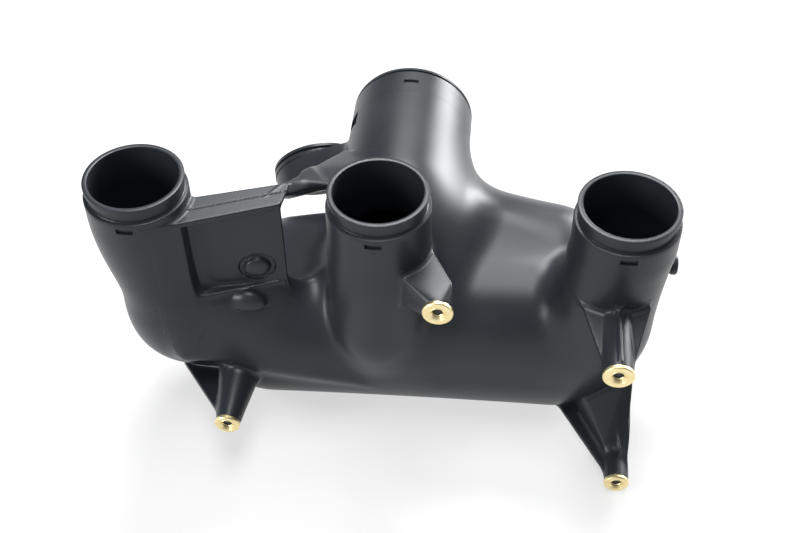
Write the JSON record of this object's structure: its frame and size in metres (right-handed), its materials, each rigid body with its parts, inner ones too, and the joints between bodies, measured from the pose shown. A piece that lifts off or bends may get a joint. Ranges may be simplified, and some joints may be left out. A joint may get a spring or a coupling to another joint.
{
  "type": "intake manifold",
  "caption": "Bare moulded plastic engine intake plenum with a row of runner tubes, a wide throttle neck, a smaller resonance neck and brass-threaded posts.",
  "frame": {"origin": "on the flat underside of the plenum, in line with the middle runner", "axes": "+Z the way the runner mouths face, +Y the way the throttle neck faces, +X along the row of runners towards the end with the vacuum nipple"},
  "size_m": [0.2979, 0.1916, 0.16],
  "materials": {
    "black_nylon": "satin glass-filled nylon with a soft sheen",
    "brass": "turned, slightly dulled"
  },
  "bodies": {
    "root": {"plenum_front_shell": "black_nylon", "plenum_rear_shell": "black_nylon", "left_runner": "black_nylon", "middle_runner": "black_nylon", "right_runner": "black_nylon", "throttle_neck": "black_nylon", "resonance_neck": "black_nylon", "web_bracket": "black_nylon", "vacuum_nipple": "black_nylon", "low_left_insert": "brass", "low_right_insert": "brass", "side_insert": "brass", "front_insert": "brass"}
  },
  "joints": []
}
